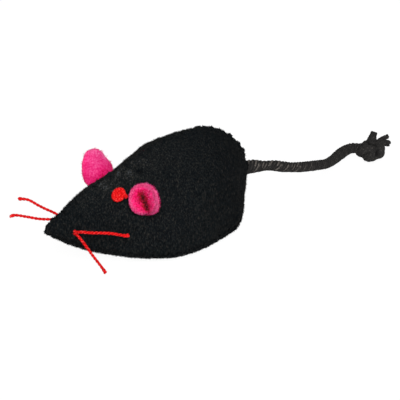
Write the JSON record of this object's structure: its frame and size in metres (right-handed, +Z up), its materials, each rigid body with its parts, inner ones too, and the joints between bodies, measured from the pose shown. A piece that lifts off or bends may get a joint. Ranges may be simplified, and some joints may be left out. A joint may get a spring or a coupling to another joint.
{
  "type": "catnip mouse cat toy",
  "caption": "Stuffed felt toy mouse with a pointed nose, pleated ears, yarn eyes, thread whiskers and a knotted cord tail, for a cat to bat, carry and chew.",
  "frame": {"origin": "on the flat of the belly that the mouse rests on, under the middle of its body length and midway between its sides", "axes": "+X from the nose to the tail, +Y to the mouse's right side, +Z up from the belly to the back"},
  "size_m": [0.1467, 0.0399, 0.0358],
  "materials": {
    "black_felt": "short-napped black felt",
    "pink_felt": "fuzzy bright pink felt",
    "red_yarn": "twisted red yarn",
    "black_thread": "black sewing thread",
    "charcoal_cord": "twisted charcoal cotton cord",
    "white_fibre": "off-white fibre wadding",
    "dried_catnip": "crumbled dried leaf"
  },
  "bodies": {
    "body": {"left_side_panel": "black_felt", "right_side_panel": "black_felt", "belly_panel": "black_felt", "stuffing_front": "white_fibre", "stuffing_rear": "white_fibre", "catnip_filling": "dried_catnip", "left_eye": "red_yarn", "right_eye": "red_yarn", "whisker_thread_upper": "red_yarn", "whisker_thread_lower": "red_yarn", "back_seam_thread": "black_thread", "rump_seam_thread": "black_thread", "left_belly_seam_thread": "black_thread", "right_belly_seam_thread": "black_thread", "tail_anchor": "charcoal_cord"},
    "ear_left": {"left_ear": "pink_felt"},
    "ear_right": {"right_ear": "pink_felt"},
    "root": {"tail_root": "charcoal_cord"},
    "tail": {"tail_cord": "charcoal_cord", "tail_knot": "charcoal_cord"}
  },
  "joints": [
    {"name": "left_ear_fold", "type": "hinge", "parent": "body", "child": "ear_left", "pos_m": [-0.00641, -0.01331, 0.01764], "axis": [0.72, -0.6698, 0.1818], "range_deg": [-14, 50], "stiffness_Nm_per_rad": 0.0002},
    {"name": "right_ear_fold", "type": "hinge", "parent": "body", "child": "ear_right", "pos_m": [-0.00494, 0.01393, 0.01713], "axis": [-0.7954, -0.4372, -0.4197], "range_deg": [-40, 20], "stiffness_Nm_per_rad": 0.0002},
    {"name": "tail_lift", "type": "hinge", "parent": "body", "child": "root", "pos_m": [0.03756, 0, 0.01792], "axis": [0, -1, 0], "range_deg": [0, 60]},
    {"name": "tail_swing", "type": "hinge", "parent": "root", "child": "tail", "pos_m": [0.04542, 0, 0.01639], "axis": [0, 0, 1], "range_deg": [-75, 60]}
  ]
}
